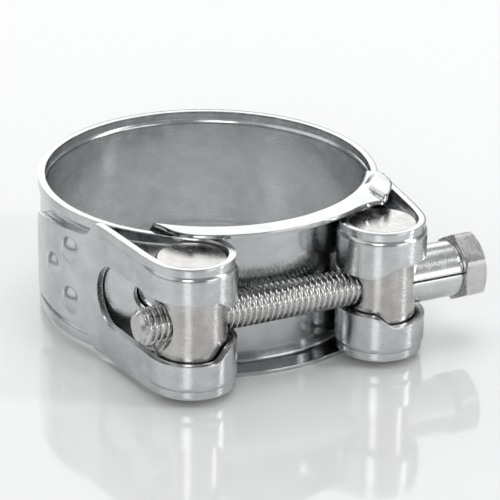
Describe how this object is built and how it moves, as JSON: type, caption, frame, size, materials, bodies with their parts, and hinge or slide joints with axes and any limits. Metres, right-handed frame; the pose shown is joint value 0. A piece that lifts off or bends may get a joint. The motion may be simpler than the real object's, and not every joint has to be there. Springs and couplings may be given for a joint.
{
  "type": "hose clamp",
  "caption": "Wide steel band clamp with a bridge under its gap, closed by a hex bolt through two round trunnions held in the looped band ends.",
  "frame": {"origin": "centre of the ring, on the hose axis at half the band's width", "axes": "+Z along the hose axis; the bolt runs along X in front of the ring at negative Y, with its head towards +X"},
  "size_m": [0.0621, 0.0639, 0.0246],
  "materials": {
    "band_steel": "bright zinc plated strip, rolled grain along the band",
    "bridge_steel": "bright zinc plated pressing",
    "trunnion_steel": "zinc plated turned bar, satin",
    "bolt_steel": "zinc plated bolt, satin head and bright thread",
    "sleeve_steel": "zinc plated rolled tube"
  },
  "bodies": {
    "ring": {"band_right": "band_steel", "bridge": "bridge_steel"},
    "left_end": {"band_left": "band_steel"},
    "nut_trunnion": {"threaded_trunnion": "trunnion_steel"},
    "head_trunnion": {"plain_trunnion": "trunnion_steel"},
    "bolt": {"hex_bolt": "bolt_steel"},
    "sleeve": {"spacer_sleeve": "sleeve_steel"}
  },
  "joints": [
    {"name": "band_close", "type": "hinge", "parent": "ring", "child": "left_end", "pos_m": [0, 0, 0], "axis": [0, 0, 1], "range_deg": [0, 17.87]},
    {"name": "head_trunnion_turn", "type": "hinge", "parent": "ring", "child": "head_trunnion", "pos_m": [0.01665, -0.02918, 0], "axis": [0, 0, 1], "range_deg": [0, 8.98]},
    {"name": "bolt_spin", "type": "hinge", "parent": "head_trunnion", "child": "bolt", "pos_m": [0, -0.02918, 0], "axis": [-1, 0, 0], "range_deg": [0, 3384]},
    {"name": "sleeve_spin", "type": "hinge", "parent": "head_trunnion", "child": "sleeve", "pos_m": [0.025, -0.02918, 0], "axis": [1, 0, 0], "continuous": true},
    {"name": "nut_trunnion_turn", "type": "hinge", "parent": "left_end", "child": "nut_trunnion", "pos_m": [-0.01665, -0.02918, 0], "axis": [0, 0, 1], "range_deg": [-8.98, 0]}
  ],
  "couplings": [
    {"joint": "band_close", "follows": "bolt_spin", "ratio": 0.00525},
    {"joint": "head_trunnion_turn", "follows": "bolt_spin", "ratio": 0.002625},
    {"joint": "nut_trunnion_turn", "follows": "bolt_spin", "ratio": -0.002625}
  ]
}
